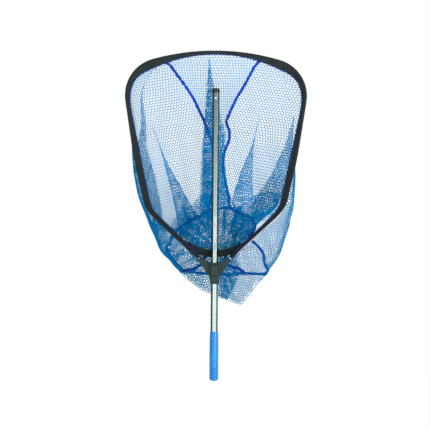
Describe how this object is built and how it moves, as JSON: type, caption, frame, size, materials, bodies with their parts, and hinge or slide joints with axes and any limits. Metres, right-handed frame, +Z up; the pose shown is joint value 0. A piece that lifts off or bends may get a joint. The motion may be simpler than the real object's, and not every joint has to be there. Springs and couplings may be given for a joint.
{
  "type": "landing net",
  "caption": "Hand net on a sliding hexagonal handle: a wide rounded hoop with a deep soft mesh bag, a push-button yoke and a vinyl grip.",
  "frame": {"origin": "on the handle's axis at the middle of the grip", "axes": "+Z up the handle to the hoop, +X across the hoop, +Y behind the hoop, where the bag hangs"},
  "size_m": [0.5696, 0.1453, 1.0321],
  "materials": {
    "aluminium_tube": "satin",
    "aluminium_hoop": "satin",
    "spring_steel": "satin",
    "screw_steel": "satin",
    "cap_plastic": "satin",
    "grip_vinyl": "satin",
    "label_film": "satin",
    "yoke_plastic": "satin",
    "button_plastic": "satin",
    "hem_fabric": "matte",
    "net_cord": "matte",
    "seam_tape": "matte"
  },
  "bodies": {
    "handle": {"handle_tube": "aluminium_tube", "end_cap": "cap_plastic", "grip": "grip_vinyl", "handle_label": "label_film", "lower_snap_leaf": "spring_steel", "upper_snap_leaf": "spring_steel"},
    "hoop": {"yoke_front": "yoke_plastic", "yoke_rear": "yoke_plastic", "yoke_screws": "screw_steel", "arm_screws": "screw_steel", "button_springs": "spring_steel", "hoop_tube": "aluminium_hoop", "net_hem": "hem_fabric", "hem_flap": "hem_fabric", "hem_bridge": "hem_fabric", "bag_end_panel": "net_cord", "bag_left_panel": "net_cord", "bag_right_panel": "net_cord", "bag_yoke_panel": "net_cord", "bag_bottom_panel": "net_cord", "seam_tape_upper_left": "seam_tape", "seam_tape_upper_right": "seam_tape", "seam_tape_lower_left": "seam_tape", "seam_tape_lower_right": "seam_tape", "bottom_piping": "seam_tape"},
    "lock_button": {"lock_button": "button_plastic"},
    "lower_snap_pin": {"lower_snap_pin": "spring_steel"},
    "upper_snap_pin": {"upper_snap_pin": "spring_steel"}
  },
  "joints": [
    {"name": "yoke_slide", "type": "slide", "parent": "handle", "child": "hoop", "axis": [0, 0, 1], "range_m": [-0.1, 0.53], "deforming": ["upper_snap_leaf", "lower_snap_pin", "upper_snap_pin"]},
    {"name": "lock_button_press", "type": "slide", "parent": "hoop", "child": "lock_button", "axis": [0, 1, 0], "range_m": [0, 0.0034], "stiffness_N_per_m": 400, "springref_m": -0.003, "deforming": ["button_springs", "lower_snap_leaf"]},
    {"name": "lower_pin_press", "type": "slide", "parent": "handle", "child": "lower_snap_pin", "axis": [0, 1, 0], "range_m": [0, 0.0034], "stiffness_N_per_m": 400, "springref_m": -0.003},
    {"name": "upper_pin_press", "type": "slide", "parent": "handle", "child": "upper_snap_pin", "axis": [0, 1, 0], "range_m": [0, 0.0034], "stiffness_N_per_m": 400, "springref_m": -0.003}
  ],
  "couplings": [
    {"joint": "lower_pin_press", "follows": "lock_button_press", "ratio": 1}
  ]
}
